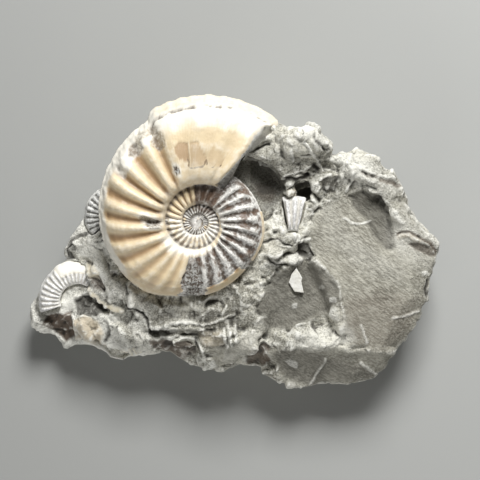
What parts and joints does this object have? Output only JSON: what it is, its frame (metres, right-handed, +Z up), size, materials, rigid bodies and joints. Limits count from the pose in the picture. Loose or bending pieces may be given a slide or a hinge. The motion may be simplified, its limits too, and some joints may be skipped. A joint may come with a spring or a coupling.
{
  "type": "fossil ribbed ammonite in matrix rock",
  "caption": "Ribbed cream-coloured ammonite lying flank up in a loose, broken block of grey matrix rock, with smaller shells and a calcite flake beside it.",
  "frame": {"origin": "middle of the specimen's box, on the surface that it lies on", "axes": "+X to the right of the picture, along the block's length; +Y to the top of the picture; +Z up, out of the shell's flank"},
  "size_m": [0.1047, 0.073, 0.0353],
  "materials": {
    "matrix_rock": "rough broken grey marl",
    "cream_shell": "satin cream fossil shell",
    "pale_shell": "satin white fossil shell",
    "grey_shell": "satin silvery grey fossil shell",
    "white_calcite": "matt white calcite"
  },
  "bodies": {
    "root": {"matrix_rock": "matrix_rock", "big_ammonite": "cream_shell", "small_ammonite": "pale_shell", "young_ammonite": "grey_shell", "ribbed_shell_fragment": "grey_shell", "calcite_flake": "white_calcite"}
  },
  "joints": []
}
